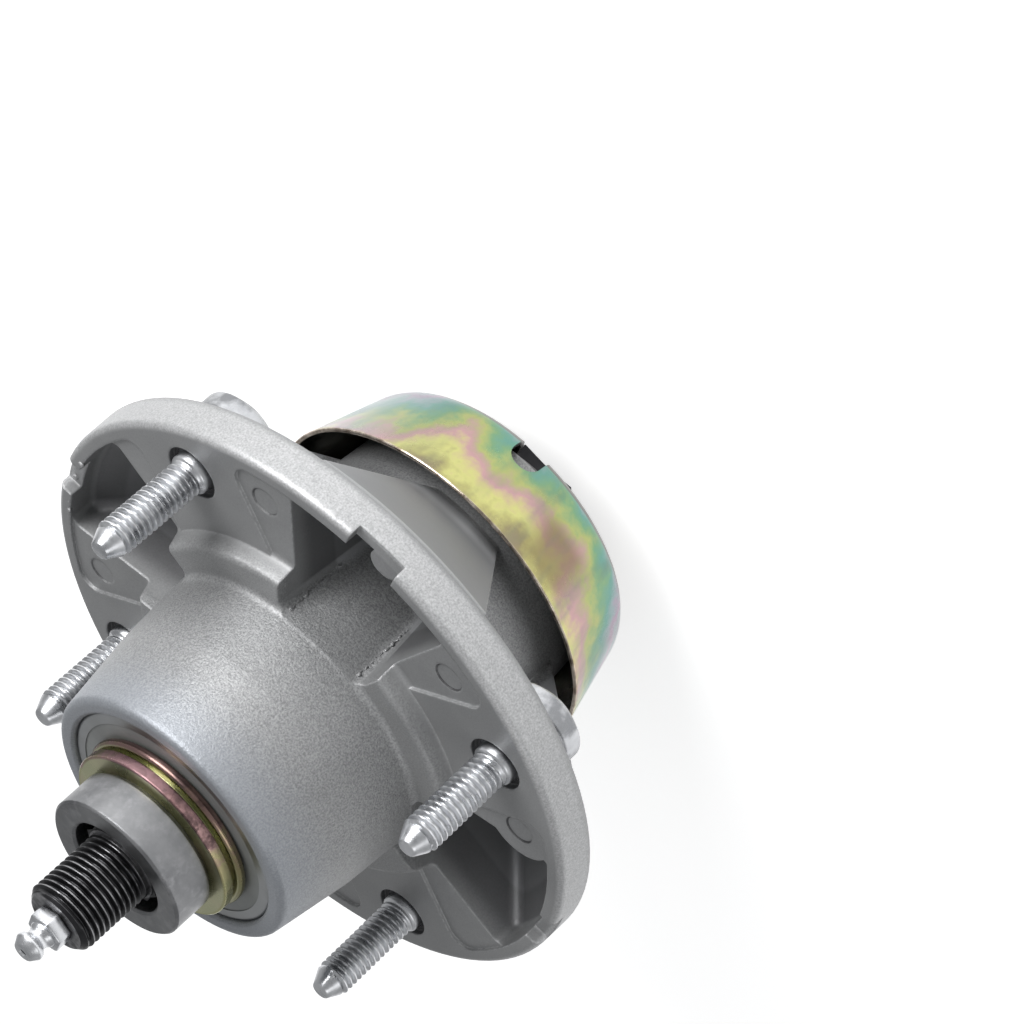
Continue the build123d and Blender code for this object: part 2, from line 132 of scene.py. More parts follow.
# Finishes
class Finish:
    """A procedural finish on a piece's own Object coordinates, in metres."""

    def __init__(self, name, colour, metallic, roughness):
        self.material = bpy.data.materials.new(name)
        self.material.use_nodes = True
        self.tree = self.material.node_tree
        self.shader = self.tree.nodes["Principled BSDF"]
        self.shader.inputs["Base Color"].default_value = (*colour, 1)
        self.shader.inputs["Metallic"].default_value = metallic
        self.shader.inputs["Roughness"].default_value = roughness
        self.place = self.node("ShaderNodeTexCoord").outputs["Object"]
        parts = self.node("ShaderNodeSeparateXYZ", Vector=self.place)
        self.height = parts.outputs["Z"]
        flat = self.node("ShaderNodeVectorMath", operation="MULTIPLY", a=self.place, b=(1, 1, 0))
        length = self.node("ShaderNodeVectorMath", operation="LENGTH", a=flat.outputs["Vector"])
        self.radius = length.outputs["Value"]
        self.angle = self.sum("ARCTAN2", parts.outputs["Y"], parts.outputs["X"])

    def node(self, kind, **values):
        made = self.tree.nodes.new(kind)
        slots = {"a": 0, "b": 1, "c": 2}
        for key, value in values.items():
            if key in slots:
                self.feed(made.inputs[slots[key]], value)
            elif key in made.inputs:
                self.feed(made.inputs[key], value)
            else:
                setattr(made, key, value)
        return made

    def feed(self, socket, value):
        if isinstance(value, bpy.types.NodeSocket):
            self.tree.links.new(value, socket)
        else:
            socket.default_value = value

    def sum(self, operation, a, b=0.0, clamp=False):
        return self.node("ShaderNodeMath", operation=operation, a=a, b=b, use_clamp=clamp).outputs[0]

    def fade(self, value, low, high, start=0.0, end=1.0, course="SMOOTHSTEP"):
        """Goes from start to end while the value goes from low to high."""
        reach = {"From Min": low, "From Max": high, "To Min": start, "To Max": end}
        mapped = self.node("ShaderNodeMapRange", interpolation_type=course, Value=value, **reach)
        return mapped.outputs["Result"]

    def band(self, value, low, high, soft):
        """One between low and high, and nothing outside."""
        above = self.fade(value, low - soft, low + soft)
        below = self.fade(value, high - soft, high + soft, 1, 0)
        return self.sum("MULTIPLY", above, below)

    def grain(self, size_mm, detail=3.0, roughness=0.55, stretch=None, place=None):
        """Noise whose features are about size_mm across."""
        place = place or self.place
        if stretch:
            stretched = self.node("ShaderNodeVectorMath", operation="MULTIPLY", a=place, b=stretch)
            place = stretched.outputs["Vector"]
        return self.node("ShaderNodeTexNoise", Vector=place, Scale=1000 / size_mm / 2, Detail=detail,
                         Roughness=roughness).outputs["Fac"]

    def blend(self, amount, first, second, mode="MIX"):
        mixed = self.node("ShaderNodeMix", data_type="RGBA", blend_type=mode)
        self.feed(mixed.inputs[0], amount)
        for socket, colour in ((mixed.inputs[6], first), (mixed.inputs[7], second)):
            self.feed(socket, colour if isinstance(colour, bpy.types.NodeSocket) else (*colour, 1))
        return mixed.outputs[2]

    def ramp(self, value, *stops):
        made = self.node("ShaderNodeValToRGB", Fac=value)
        elements = made.color_ramp.elements
        while len(elements) < len(stops):
            elements.new(0.5)
        for element, (position, colour) in zip(elements, stops):
            element.position = position
            element.color = (*colour, 1)
        return made.outputs["Color"]

    def away_from(self, x_mm, y_mm, place=None):
        """Distance from an upright line through a point."""
        offset = self.node("ShaderNodeVectorMath", operation="SUBTRACT", a=place or self.place,
                           b=(x_mm * MM, y_mm * MM, 0))
        flat = self.node("ShaderNodeVectorMath", operation="MULTIPLY", a=offset.outputs["Vector"],
                         b=(1, 1, 0))
        length = self.node("ShaderNodeVectorMath", operation="LENGTH", a=flat.outputs["Vector"])
        return length.outputs["Value"]

    def rounded_edges(self, radius_mm):
        """Normal that rounds sharp edges."""
        return self.node("ShaderNodeBevel", samples=6, Radius=radius_mm * MM).outputs["Normal"]

    def near_edge(self, rounded):
        """One where the rounded normal leaves the surface's own, at an edge, and nothing elsewhere."""
        flat = self.node("ShaderNodeNewGeometry").outputs["Normal"]
        along = self.node("ShaderNodeVectorMath", operation="DOT_PRODUCT", a=rounded, b=flat)
        return self.fade(along.outputs["Value"], 0.72, 0.96, 1, 0)

    def relief(self, *layers, normal=None):
        """Bump from (height, depth in mm) layers, one over the other."""
        for height, depth in layers:
            bump = self.node("ShaderNodeBump", Height=height, Distance=depth * MM)
            if normal:
                self.feed(bump.inputs["Normal"], normal)
            normal = bump.outputs["Normal"]
        self.feed(self.shader.inputs["Normal"], normal)

    def colour(self, value):
        self.feed(self.shader.inputs["Base Color"], value)

    def gloss(self, value):
        self.feed(self.shader.inputs["Roughness"], value)


def cast_aluminium():
    """Grainy on the hub, the shoulders and the tail; smoother on the pads, the ribs and the rim. The rim and
    the ribs carry painted light, the edges painted highlights and the pockets painted shade.
    """
    cast = Finish("cast_aluminium", (0.5, 0.51, 0.52), 0.55, 0.5)
    barrel = cast.fade(cast.radius, 34.2 * MM, 35.2 * MM, 1, 0)
    tail = cast.fade(cast.height, -13 * MM, -10 * MM, 1, 0)
    shoulder = cast.sum("MULTIPLY", cast.fade(cast.height, 0.3 * MM, 2.2 * MM),
                        cast.fade(cast.radius, 43 * MM, 44 * MM, 1, 0))
    ribs = cast.sum("MULTIPLY", cast.fade(cast.height, -11.5 * MM, -10.5 * MM, 1, 0),
                    cast.fade(cast.radius, 33.8 * MM, 34.8 * MM))
    tail = cast.sum("SUBTRACT", tail, ribs, clamp=True)
    rough = cast.sum("MAXIMUM", cast.sum("MAXIMUM", barrel, tail), cast.sum("MULTIPLY", shoulder, 0.6))
    fine = cast.grain(0.2, 2.0, 0.6)
    coarse = cast.grain(0.55, 2.0)
    clouds = cast.grain(16, 4, 0.6)
    strength = cast.fade(rough, 0, 1, 0.16, 1.0)
    normal = cast.rounded_edges(0.8)
    edge = cast.near_edge(normal)
    cast.relief((cast.sum("MULTIPLY", coarse, strength), 0.08), (cast.sum("MULTIPLY", fine, strength), 0.09),
                normal=normal)
    base = cast.ramp(clouds, (0.35, (0.275, 0.278, 0.282)), (0.65, (0.345, 0.348, 0.352)))
    specks = cast.ramp(fine, (0.34, (0.17, 0.172, 0.175)), (0.66, (0.52, 0.525, 0.53)))
    speckled = cast.blend(cast.fade(rough, 0, 1, 0.12, 0.45), base, specks)
    # Painted light: the rim's outer wall is painted lighter, a painted reflection of the bright floor over
    # the wall's own fine speckle
    rim = cast.sum("MULTIPLY", cast.fade(cast.radius, 66.2 * MM, 67.2 * MM),
                   cast.fade(cast.height, -9 * MM, -7 * MM))
    rim_speckle_and_painted_light = cast.ramp(fine, (0.3, (0.36, 0.363, 0.367)), (0.7, (0.62, 0.623, 0.63)))
    with_painted_light = cast.blend(cast.sum("MULTIPLY", rim, 0.75), speckled, rim_speckle_and_painted_light)
    # Painted light: the ribs are painted paler to lift them out of the shade they stand in, on top of their
    # own smoother, paler casting
    with_painted_light = cast.blend(cast.sum("MULTIPLY", ribs, 0.6), with_painted_light, (0.52, 0.53, 0.545))
    mouth = cast.fade(cast.height, 22 * MM, 38 * MM, 0, 0.5)
    tinted = cast.blend(mouth, with_painted_light, (0.33, 0.36, 0.41))
    # Painted shade: the pockets darken towards their depth, where shade falls
    pocket_painted_shade = cast.sum("MULTIPLY", cast.fade(cast.height, -6 * MM, -0.9 * MM, 0.62, 0),
                      cast.band(cast.radius, POCKET_INNER_RADIUS * MM, POCKET_OUTER_RADIUS * MM, 0.4 * MM))
    inside_painted_shade = cast.sum("MULTIPLY", pocket_painted_shade, cast.fade(cast.height, -34 * MM, -30 * MM))
    shaded = cast.blend(inside_painted_shade, tinted, (0.08, 0.08, 0.085))
    # Edges are painted lighter: partly wear of the casting's edges, partly painted highlights on their
    # rounding
    edge_wear_and_highlight = cast.sum("MULTIPLY", edge, cast.fade(coarse, 0.35, 0.6, 0.15, 0.7))
    worn_and_highlit = cast.blend(edge_wear_and_highlight, shaded, (0.62, 0.625, 0.63))
    quarter = cast.node("ShaderNodeVectorMath", operation="ABSOLUTE", a=cast.place).outputs["Vector"]
    stud_place = STUD_CIRCLE_RADIUS * cos(radians(45))
    from_stud = cast.away_from(stud_place, stud_place, quarter)
    stud_hole = STUD_HOLE_RADIUS * MM
    grime = cast.sum("MULTIPLY", cast.fade(from_stud, stud_hole, stud_hole + 0.25 * MM, 1, 0),
                     cast.fade(cast.height, -0.5 * MM, -0.1 * MM, 0.85, 0))
    for angle in EJECTOR_MARK_ANGLES:
        centre = (STUD_CIRCLE_RADIUS * cos(radians(angle)), STUD_CIRCLE_RADIUS * sin(radians(angle)))
        ring = cast.band(cast.away_from(*centre), 2.95 * MM, 3.3 * MM, 0.12 * MM)
        seen = cast.sum("MULTIPLY", ring, cast.fade(cast.height, -1.4 * MM, -1.2 * MM))
        side = cast.fade(cast.grain(5, 1), 0.42, 0.56, 0.1, 0.9)
        grime = cast.sum("MAXIMUM", grime, cast.sum("MULTIPLY", seen, side))
    cast.colour(cast.blend(grime, worn_and_highlit, (0.055, 0.055, 0.058)))
    cast.gloss(cast.fade(clouds, 0.3, 0.7, 0.44, 0.52))
    return cast.material


def bright_zinc():
    """Bright plate, with painted shade in the roots of the threads and the knurl's grooves, and random darker
    patches on the studs' heads that are grey mottling and painted dark reflections.
    """
    zinc = Finish("bright_zinc", (0.78, 0.80, 0.83), 1.0, 0.24)
    crest = zinc.node("ShaderNodeAttribute", attribute_name="crest").outputs["Fac"]
    clouds = zinc.grain(2.2, 3)
    plate = zinc.ramp(clouds, (0.3, (0.48, 0.49, 0.51)), (0.5, (0.64, 0.65, 0.67)), (0.7, (0.80, 0.81, 0.83)))
    # The heads get random darker patches: grey mottling of the plate and painted dark reflections
    head = zinc.fade(zinc.height, (STUD_HEAD_FACE - 0.1) * MM, (STUD_HEAD_FACE + 0.5) * MM, 1, 0)
    mottle_and_dark_reflection = zinc.fade(zinc.grain(3.5, 4, 0.6), 0.40, 0.58, 0.35, 0.95)
    plate = zinc.blend(zinc.sum("MULTIPLY", head, mottle_and_dark_reflection), plate, (0.22, 0.225, 0.235))
    # Painted shade: the roots of the threads, where the crest layer is low, are darkened
    zinc.colour(zinc.blend(zinc.fade(crest, 0.0, 0.5, 0.4, 0.0), plate, (0.22, 0.225, 0.23)))
    zinc.gloss(zinc.fade(clouds, 0.3, 0.7, 0.24, 0.38))
    zinc.relief((zinc.grain(0.8, 3), 0.03))
    return zinc.material


def black_oxide():
    """Blackened steel, rubbed bare along the crests of the thread."""
    black = Finish("black_oxide", (0.05, 0.05, 0.055), 0.9, 0.38)
    crest = black.node("ShaderNodeAttribute", attribute_name="crest").outputs["Fac"]
    rubbed = black.fade(black.grain(1.5, 3), 0.35, 0.6, 0.2, 0.85)
    wear = black.sum("MULTIPLY", black.fade(crest, 0.93, 1.0), rubbed)
    oxide = black.ramp(black.grain(3, 3), (0.3, (0.018, 0.018, 0.02)), (0.7, (0.045, 0.045, 0.048)))
    black.colour(black.blend(wear, oxide, (0.30, 0.30, 0.31)))
    black.gloss(black.fade(black.grain(2, 3), 0.3, 0.7, 0.3, 0.45))
    black.relief((black.grain(0.6, 3), 0.03))
    return black.material


def dark_ring():
    """Dark mottled steel, with painted shade along its edges."""
    ring = Finish("dark_ring", (0.2, 0.2, 0.21), 0.9, 0.42)
    clouds = ring.grain(5, 4, 0.6)
    mottle = ring.grain(1.4, 4, 0.65)
    steel = ring.ramp(clouds, (0.3, (0.13, 0.133, 0.14)), (0.7, (0.27, 0.273, 0.28)))
    dusted = ring.blend(ring.fade(mottle, 0.45, 0.75, 0, 0.5), steel, (0.36, 0.36, 0.37))
    normal = ring.rounded_edges(0.4)
    edge = ring.near_edge(normal)
    # Painted shade: the rounded edges are darkened
    ring.colour(ring.blend(ring.sum("MULTIPLY", edge, 0.5), dusted, (0.07, 0.07, 0.075)))
    ring.gloss(ring.fade(clouds, 0.3, 0.7, 0.3, 0.44))
    ring.relief((ring.grain(0.5, 3), 0.03), (mottle, 0.03), normal=normal)
    return ring.material


def yellow_zinc(name, rim_radius, dulled):
    """Pale yellow-green faces, and rims that go from olive over pink to yellow-green."""
    plated = Finish(name, (0.72, 0.70, 0.48), 1.0, 0.26)
    clouds = plated.grain(7, 3)
    face = plated.ramp(clouds, (0.3, (0.44, 0.47, 0.27)), (0.55, (0.55, 0.54, 0.34)),
                       (0.75, (0.52, 0.45, 0.34)))
    blotches = plated.grain(1.6, 3, 0.65)
    round_rim = plated.sum("ADD", plated.fade(plated.angle, radians(5), radians(150), 0.0, 0.8, "LINEAR"),
                           plated.fade(blotches, 0.2, 0.8, -0.10, 0.10))
    rim = plated.ramp(round_rim, (0.0, (0.44, 0.44, 0.22)), (0.16, (0.47, 0.42, 0.23)),
                      (0.30, (0.48, 0.30, 0.29)), (0.45, (0.22, 0.13, 0.13)), (0.58, (0.38, 0.23, 0.24)),
                      (0.72, (0.44, 0.27, 0.28)), (0.86, (0.26, 0.22, 0.12)))
    at_rim = plated.fade(plated.radius, (rim_radius - 0.8) * MM, (rim_radius - 0.3) * MM)
    rubbed = plated.sum("MULTIPLY", plated.fade(blotches, 0.5, 0.62, 0, 0.7),
                        plated.band(plated.angle, radians(48), radians(112), radians(12)))
    rim = plated.blend(rubbed, plated.blend(dulled, rim, (0.10, 0.08, 0.04)), (0.09, 0.06, 0.06))
    plated.colour(plated.blend(at_rim, face, rim))
    plated.gloss(plated.fade(clouds, 0.3, 0.7, 0.2, 0.34))
    plated.relief((plated.grain(1.0, 3), 0.03), (blotches, 0.02), normal=plated.rounded_edges(0.3))
    return plated.material


def rainbow_zinc():
    """Pressed sheet with thick yellow zinc, whose tint follows the film's thickness, with a painted
    highlight, painted shade on its sides and painted shade inside.
    """
    sheet = Finish("rainbow_zinc", (0.6, 0.6, 0.4), 1.0, 0.2)
    down = sheet.fade(sheet.height, -61 * MM, -37 * MM, 0.70, 0.12, "LINEAR")
    left = sheet.fade(sheet.angle, radians(108), radians(130), 0, 0.24)
    right = sheet.fade(sheet.angle, radians(12), radians(70), 0.36, 0)
    behind = sheet.fade(sheet.angle, radians(-175), radians(-60), -0.12, 0)
    clouds = sheet.grain(26, 3, 0.55)
    blotches = sheet.grain(7, 4, 0.6)
    streaks = sheet.grain(9, 3, 0.6, stretch=(1.6, 1.6, 0.35))
    patches = sheet.grain(11, 1, 0.4, stretch=(1, 1, 0.12))
    film = sheet.sum("ADD", down, sheet.sum("ADD", left, sheet.sum("ADD", right, behind)))
    speckle = sheet.grain(2.2, 4, 0.65)
    spreads = ((clouds, 0.09), (blotches, 0.12), (streaks, 0.09), (patches, 0.10), (speckle, 0.05))
    for spread, reach in spreads:
        film = sheet.sum("ADD", film, sheet.fade(spread, 0.25, 0.75, -reach, reach, "LINEAR"))
    tint = sheet.ramp(film, (0.02, (0.30, 0.22, 0.17)), (0.13, (0.30, 0.26, 0.14)),
                      (0.21, (0.46, 0.44, 0.18)), (0.26, (0.56, 0.55, 0.22)),
                      (0.32, (0.55, 0.48, 0.25)), (0.39, (0.50, 0.31, 0.32)), (0.45, (0.44, 0.33, 0.27)),
                      (0.52, (0.40, 0.43, 0.17)), (0.62, (0.20, 0.35, 0.20)), (0.72, (0.15, 0.33, 0.28)),
                      (0.82, (0.29, 0.36, 0.38)), (0.90, (0.42, 0.29, 0.39)), (0.97, (0.36, 0.42, 0.44)))
    brown = sheet.sum("MULTIPLY", sheet.band(sheet.angle, radians(52), radians(72), radians(6)),
                      sheet.band(sheet.height, -51 * MM, -39 * MM, 2.5 * MM))
    stain_and_painted_shade = sheet.blend(sheet.sum("MULTIPLY", brown, 0.75), tint, (0.20, 0.15, 0.08))
    # Painted shade: darker smears, half as strong between 85 and 165 degrees, darken the cup's other sides
    painted_shade_noise = sheet.grain(6, 3, 0.6, stretch=(1.5, 1.5, 0.3))
    front = sheet.band(sheet.angle, radians(85), radians(165), radians(15))
    shade = sheet.sum("MULTIPLY", sheet.fade(painted_shade_noise, 0.42, 0.68, 0, 0.5), sheet.fade(front, 0, 1, 1, 0.5))
    stain_and_painted_shade = sheet.blend(shade, stain_and_painted_shade, (0.16, 0.19, 0.16))
    # Painted highlight: a pale bluish band on the side that faces the key light
    painted_highlight = sheet.sum("MULTIPLY", sheet.band(sheet.angle, radians(132), radians(162), radians(14)),
                     sheet.fade(blotches, 0.3, 0.7, 0.3, 0.8))
    with_painted_highlight = sheet.blend(painted_highlight, stain_and_painted_shade, (0.36, 0.39, 0.42))
    # Painted shade: the cup's inner surface is darkened
    wall = sheet.sum("SUBTRACT", sheet.radius, sheet.sum("MULTIPLY", sheet.height, 0.2493))
    inside_painted_shade = sheet.fade(wall, 48.6 * MM, 49.0 * MM, 1, 0)
    shown = sheet.blend(inside_painted_shade, with_painted_highlight, (0.13, 0.125, 0.11))
    rim = sheet.fade(sheet.height, -38.0 * MM, -37.5 * MM)
    brushed = sheet.ramp(sheet.grain(1.2, 3), (0.35, (0.30, 0.24, 0.19)), (0.65, (0.80, 0.70, 0.60)))
    sheet.colour(sheet.blend(rim, shown, brushed))
    sheet.gloss(sheet.fade(blotches, 0.3, 0.7, 0.16, 0.30))
    sheet.relief((sheet.grain(5, 3), 0.12), (sheet.grain(0.8, 2), 0.01))
    return sheet.material


def bearing_steel():
    steel = Finish("bearing_steel", (0.4, 0.41, 0.42), 0.95, 0.35)
    clouds = steel.grain(5, 3)
    steel.colour(steel.ramp(clouds, (0.3, (0.33, 0.34, 0.34)), (0.7, (0.44, 0.45, 0.46))))
    steel.gloss(steel.fade(clouds, 0.3, 0.7, 0.3, 0.4))
    steel.relief((steel.grain(0.5, 2), 0.01))
    return steel.material


def bearing_shield():
    shield = Finish("bearing_shield", (0.3, 0.31, 0.31), 0.6, 0.5)
    clouds = shield.grain(6, 3)
    shield.colour(shield.ramp(clouds, (0.3, (0.25, 0.26, 0.26)), (0.7, (0.34, 0.35, 0.35))))
    shield.relief((shield.grain(0.5, 3), 0.02))
    return shield.material


def dress(node, material):
    mesh = nodes[node].data
    mesh.materials.clear()
    mesh.materials.append(material)


# Threaded and rounded pieces
def turned(outline, steps):
    """A closed shape turned round the Z axis from (radius, height) points in millimetres."""
    shape = bmesh.new()
    corners = [shape.verts.new((radius * MM, 0, height * MM)) for radius, height in outline]
    sides = [shape.edges.new(pair) for pair in zip(corners, corners[1:])]
    bmesh.ops.spin(shape, geom=corners + sides, axis=(0, 0, 1), cent=(0, 0, 0), angle=2 * pi, steps=steps,
                   use_merge=True)
    bmesh.ops.remove_doubles(shape, verts=shape.verts, dist=0.002 * MM)
    bmesh.ops.recalc_face_normals(shape, faces=shape.faces)
    return shape


def press_thread(shape, crest_radius, low, high):
    """Presses a screw thread into the turned wall between two heights; returns the layer of its crests."""
    crest = shape.verts.layers.float.new("crest")
    for vert in shape.verts:
        radius = hypot(vert.co.x, vert.co.y) / MM
        height = vert.co.z / MM
        vert[crest] = 1.0
        if low < height < high and radius > 0.45 * crest_radius:
            phase = (height / THREAD_PITCH - atan2(vert.co.y, vert.co.x) / (2 * pi)) % 1
            top = min(1, max(0, (abs(2 * phase - 1) - 0.12) / 0.72))
            top = top * top * (3 - 2 * top)
            run_out = min(1, (height - low) / THREAD_PITCH)
            vert[crest] = 1 - (1 - top) * run_out
            reach = min(radius, crest_radius - THREAD_DEPTH * (1 - top) * run_out)
            vert.co.x *= reach / radius
            vert.co.y *= reach / radius
    return crest


def thread_rings(radius, low, high, per_pitch=10):
    """Outline points up a wall that will carry a thread."""
    count = round((high - low) / THREAD_PITCH * per_pitch)
    return [(radius, low + (high - low) * step / count) for step in range(count + 1)]


def placed(shape, name):
    """Makes the shape an object of the scene, at the origin."""
    mesh = bpy.data.meshes.new(name)
    shape.to_mesh(mesh)
    shape.free()
    made = bpy.data.objects.new(name, mesh)
    bpy.context.scene.collection.objects.link(made)
    return made


def finished(shape, name, body, node, material, sharp=40):
    """Makes the shape a piece with smooth faces and sharp corners, which rides on a body."""
    for face in shape.faces:
        face.smooth = True
    for edge in shape.edges:
        edge.smooth = not edge.is_manifold or edge.calc_face_angle(0) < radians(sharp)
    piece = placed(shape, name)
    piece.data.materials.append(material)
    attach(piece, body)
    if node:
        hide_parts(node)
    return piece


def arc(centre, radius, start, end, count):
    """Outline points along an arc."""
    turn = [radians(start + (end - start) * step / count) for step in range(count + 1)]
    return [(centre[0] + radius * cos(angle), centre[1] + radius * sin(angle)) for angle in turn]


def threaded_stud(number, material):
    """Stud with a domed head, a knurled neck, a smooth collar, a thread and a blunt cone."""
    head = [(0, -17.7), (2.0, -17.6), (4.0, -17.1), (5.8, -16.4), (7.3, -15.5), (8.3, -14.7)]
    head += arc((8.0, -13.6), 1.2, -48, 0, 4) + arc((8.0, -10.7), 1.2, 0, 80, 4) + [(7.6, STUD_HEAD_FACE)]
    neck = [(STUD_NECK_RADIUS, STUD_HEAD_FACE), (STUD_NECK_RADIUS, -1.9), (4.7, -1.55)]
    collar = [(STUD_COLLAR_RADIUS, -1.3), (STUD_COLLAR_RADIUS, 0.7), (4.3, 1.0)]
    thread = thread_rings(STUD_THREAD_RADIUS, STUD_THREAD_START, STUD_THREAD_END)
    cone = [(STUD_THREAD_RADIUS - 1.87 * step / 8, STUD_THREAD_END + 3.7 * step / 8) for step in range(1, 9)]
    point = [(1.9, 25.2), (1.6, 25.3), (0, 25.3)]
    shape = turned(head + neck + collar + thread + cone + point, STUD_STEPS)
    crest = press_thread(shape, STUD_THREAD_RADIUS, STUD_THREAD_START, 22.0)
    for vert in shape.verts:
        radius = hypot(vert.co.x, vert.co.y) / MM
        if -9 < vert.co.z / MM < -1.4 and radius > 4.6:
            tooth = 1.05 if round(degrees(atan2(vert.co.y, vert.co.x)) / (360 / STUD_STEPS)) % 2 else 0.96
            vert.co.x *= tooth
            vert.co.y *= tooth
            # A low crest gives the knurl's grooves the zinc's painted shade
            vert[crest] = 0.45 if tooth > 1 else 0.0
    angle = radians(STUD_ANGLES[number - 1])
    place = (STUD_CIRCLE_RADIUS * MM * cos(angle), STUD_CIRCLE_RADIUS * MM * sin(angle), 0)
    turn = Matrix.Rotation(radians(100 * number), 3, "Z")
    bmesh.ops.rotate(shape, verts=shape.verts, cent=(0, 0, 0), matrix=turn)
    bmesh.ops.translate(shape, verts=shape.verts, vec=place)
    node = f"mounting_stud_{number}"
    return finished(shape, f"threaded_stud_{number}", "housing", node, material)


def ragged_ridge(seed):
    """A thin upright ridge with a torn outer edge, on the X axis."""
    ridge = bmesh.new()
    bmesh.ops.create_cube(ridge, size=1)
    bmesh.ops.scale(ridge, verts=ridge.verts, vec=(1.0 * MM, 0.5 * MM, FLASH_LENGTH * MM))
    upright = [edge for edge in ridge.edges if abs(edge.verts[0].co.z - edge.verts[1].co.z) > MM]
    bmesh.ops.subdivide_edges(ridge, edges=upright, cuts=110)
    for vert in ridge.verts:
        slow = noise.noise(Vector((0.3 * seed, 5, vert.co.z / MM * 0.33)))
        rag = noise.noise(Vector((0.3 * seed, vert.co.y / MM, vert.co.z / MM * 1.9)))
        lean = noise.noise(Vector((vert.co.y / MM * 2, 7 + seed, vert.co.z / MM * 0.9)))
        if vert.co.x > 0:
            vert.co.x += (0.7 * rag + 0.8 * slow - 0.1) * MM
            vert.co.y *= 0.3
        vert.co.y += 0.5 * lean * MM
    bmesh.ops.translate(ridge, verts=ridge.verts, vec=(FLASH_RADIUS * MM, 0, FLASH_MIDDLE * MM))
    return ridge


def join(shape, added):
    """Adds a second shape to the first."""
    mesh = bpy.data.meshes.new("joined")
    added.to_mesh(mesh)
    added.free()
    shape.from_mesh(mesh)
    bpy.data.meshes.remove(mesh)


def casting_flash(material):
    """Thin ragged ridges where the pockets meet the hub, and nubs at a notch of the rim."""
    shape = bmesh.new()
    for seed, angle in enumerate(FLASH_ANGLES):
        ridge = ragged_ridge(seed)
        turn = Matrix.Rotation(radians(angle), 3, "Z")
        bmesh.ops.rotate(ridge, verts=ridge.verts, cent=(0, 0, 0), matrix=turn)
        join(shape, ridge)
    for radius, angle, height, size in RIM_NUBS:
        nub = bmesh.ops.create_icosphere(shape, subdivisions=3, radius=size * MM)["verts"]
        for vert in nub:
            vert.co *= 1 + 0.9 * noise.noise(vert.co / MM * 1.3 + Vector((angle, 0, 0)))
        place = (radius * MM * cos(radians(angle)), radius * MM * sin(radians(angle)), height * MM)
        bmesh.ops.translate(shape, verts=nub, vec=place)
    bmesh.ops.recalc_face_normals(shape, faces=shape.faces)
    return finished(shape, "casting_flash", "housing", None, material, sharp=70)


def threaded_shaft(material):
    """The CAD shaft up to the top of its star, with a real thread above it."""
    shape = bmesh.new()
    shape.from_mesh(nodes["shaft"].data)
    bmesh.ops.remove_doubles(shape, verts=shape.verts, dist=0.001 * MM)
    everything = shape.verts[:] + shape.edges[:] + shape.faces[:]
    cut = bmesh.ops.bisect_plane(shape, geom=everything, dist=1e-7, plane_co=(0, 0, SHAFT_CUT_HEIGHT * MM),
                                 plane_no=(0, 0, 1), clear_outer=True)
    rims = [part for part in cut["geom_cut"] if isinstance(part, bmesh.types.BMEdge)]
    bmesh.ops.holes_fill(shape, edges=rims)
    crest = shape.verts.layers.float.new("crest")
    for vert in shape.verts:
        vert[crest] = 0.0
    foot = [(GREASE_CHANNEL_RADIUS, SHAFT_SOCKET_FLOOR), (SHAFT_SHOULDER_RADIUS, SHAFT_SOCKET_FLOOR)]
    foot += [(SHAFT_SHOULDER_RADIUS, SHAFT_THREAD_START)]
    thread = thread_rings(SHAFT_THREAD_RADIUS, SHAFT_THREAD_START, SHAFT_THREAD_END)
    top = [(SHAFT_THREAD_RADIUS - 1.4 * step / 4, SHAFT_THREAD_END + 1.4 * step / 4) for step in range(1, 5)]
    bore = [(3.9, SHAFT_TOP), (FITTING_BORE_RADIUS, 68.2), (FITTING_BORE_RADIUS, FITTING_BORE_FLOOR)]
    bore += [(GREASE_CHANNEL_RADIUS, FITTING_BORE_FLOOR), (GREASE_CHANNEL_RADIUS, SHAFT_SOCKET_FLOOR)]
    end = turned(foot + thread + top + bore, 96)
    press_thread(end, SHAFT_THREAD_RADIUS, 52.0, 68.6)
    join(shape, end)
    return finished(shape, "threaded_shaft", "rotor", "shaft", material)


